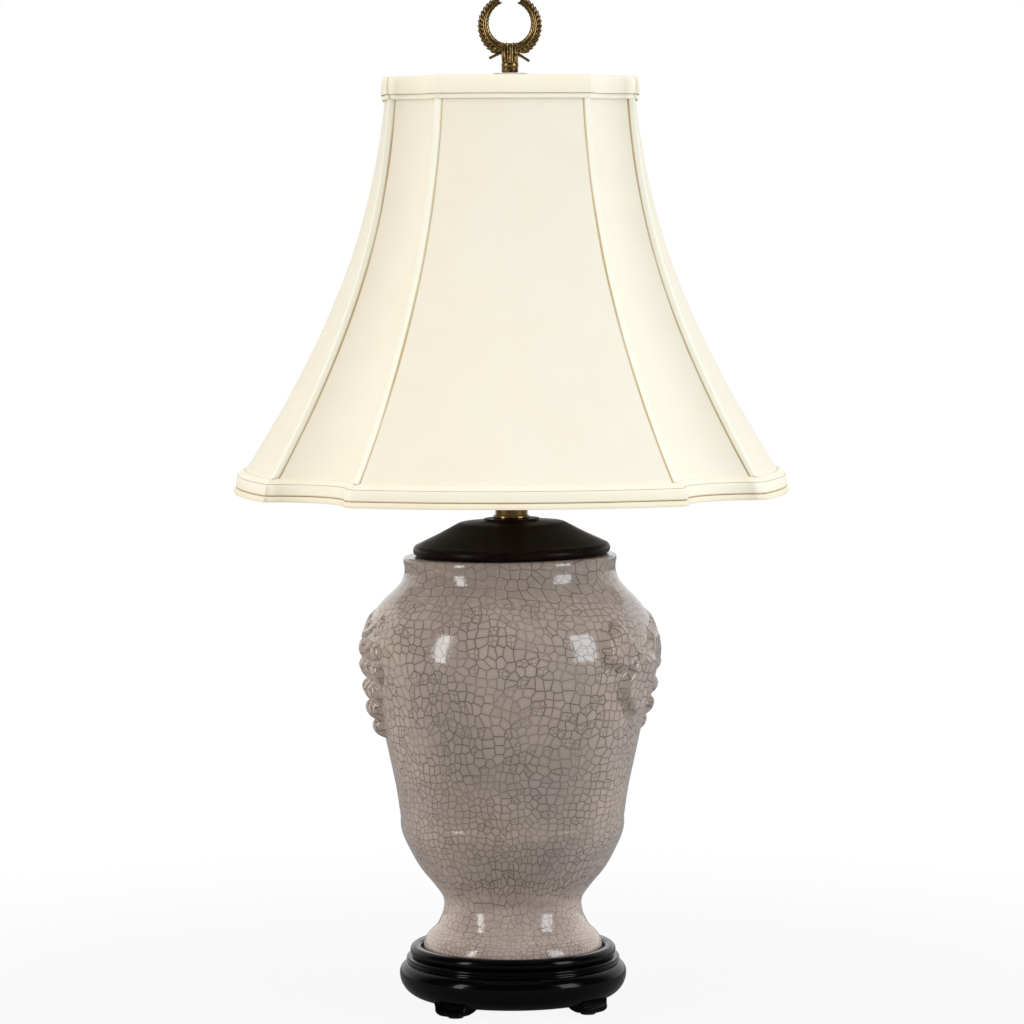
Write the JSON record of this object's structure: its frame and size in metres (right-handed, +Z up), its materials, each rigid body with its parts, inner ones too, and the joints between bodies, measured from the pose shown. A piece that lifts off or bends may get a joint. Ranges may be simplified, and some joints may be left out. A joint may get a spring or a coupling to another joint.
{
  "type": "table lamp",
  "caption": "Table lamp: crackle-glazed baluster vase with applied grape sprigs on a black footed stand, under a cut-corner bell shade with a laurel-wreath finial.",
  "frame": {"origin": "on the table under the middle of the lamp, at the underside of the foot pads", "axes": "+Z up, front of the lamp and its switch towards -Y, +X to the viewer's right"},
  "size_m": [0.4532, 0.4532, 0.8258],
  "materials": {
    "stand_lacquer": "black gloss lacquer on turned wood",
    "foot_pad": "matte",
    "inlet_plastic": "matte",
    "zinc_steel": "zinc plated",
    "crackle_glaze": "glossy with dark crackle lines",
    "cap_wood": "satin dark stain",
    "aged_brass": "antique, soft polish",
    "harp_brass": "bright",
    "socket_brass": "bright",
    "liner_board": "plain",
    "black_phenolic": "gloss",
    "shell_aluminium": "bright",
    "bulb_solder": "dull",
    "frosted_glass": "frosted",
    "frame_wire": "satin white",
    "shade_silk": "fine silky weave, cream",
    "lining_silk": "plain, off-white",
    "shade_trim": "padded tape, cream"
  },
  "bodies": {
    "base": {"base_locknut": "zinc_steel", "base_washer": "zinc_steel", "cap_screw": "zinc_steel", "centre_contact": "socket_brass", "cord_bushing": "inlet_plastic", "foot_pads": "foot_pad", "harp_bow": "harp_brass", "harp_saddle": "harp_brass", "harp_stud": "harp_brass", "lamp_pipe": "zinc_steel", "neck": "aged_brass", "saddle_locknut": "zinc_steel", "screw_shell": "shell_aluminium", "socket_body": "black_phenolic", "socket_cap": "socket_brass", "socket_liner": "liner_board", "socket_shell": "socket_brass", "sprig_left": "crackle_glaze", "sprig_right": "crackle_glaze", "stand_body": "stand_lacquer", "stand_feet": "stand_lacquer", "terminal_screws": "zinc_steel", "vase": "crackle_glaze", "vase_cap": "cap_wood"},
    "switch": {"switch_shaft": "socket_brass", "switch_knob": "black_phenolic"},
    "bulb": {"bulb_globe": "frosted_glass", "bulb_screw_cap": "shell_aluminium", "bulb_contact": "bulb_solder"},
    "ferrule_left": {"ferrule_left": "harp_brass"},
    "ferrule_right": {"ferrule_right": "harp_brass"},
    "shade": {"spider_hub": "harp_brass", "spider_arms": "harp_brass", "top_ring": "frame_wire", "bottom_ring": "frame_wire", "rib_wires": "frame_wire", "side_panel_back": "shade_silk", "side_panel_front": "shade_silk", "side_panel_left": "shade_silk", "side_panel_right": "shade_silk", "corner_panel_back_left": "shade_silk", "corner_panel_back_right": "shade_silk", "corner_panel_front_left": "shade_silk", "corner_panel_front_right": "shade_silk", "shade_lining": "lining_silk", "rib_strips": "shade_trim", "top_trim": "shade_trim", "top_piping": "shade_trim", "bottom_trim": "shade_trim", "bottom_lip": "shade_trim", "bottom_roll": "shade_trim"},
    "finial": {"finial_collar": "aged_brass", "finial_wreath": "aged_brass"}
  },
  "joints": [
    {"name": "switch_turn", "type": "hinge", "parent": "base", "child": "switch", "pos_m": [0, -0.03, 0.4875], "axis": [0, -1, 0], "continuous": true},
    {"name": "bulb_turn", "type": "hinge", "parent": "base", "child": "bulb", "pos_m": [0, 0, 0.51], "axis": [0, 0, 1], "continuous": true},
    {"name": "shade_swivel", "type": "hinge", "parent": "base", "child": "shade", "pos_m": [0, 0, 0.7639], "axis": [0, 0, 1], "continuous": true},
    {"name": "finial_turn", "type": "hinge", "parent": "base", "child": "finial", "pos_m": [0, 0, 0.769], "axis": [0, 0, 1], "continuous": true},
    {"name": "ferrule_left_lift", "type": "slide", "parent": "base", "child": "ferrule_left", "axis": [0, 0, 1], "range_m": [0, 0.015]},
    {"name": "ferrule_right_lift", "type": "slide", "parent": "base", "child": "ferrule_right", "axis": [0, 0, 1], "range_m": [0, 0.015]}
  ]
}
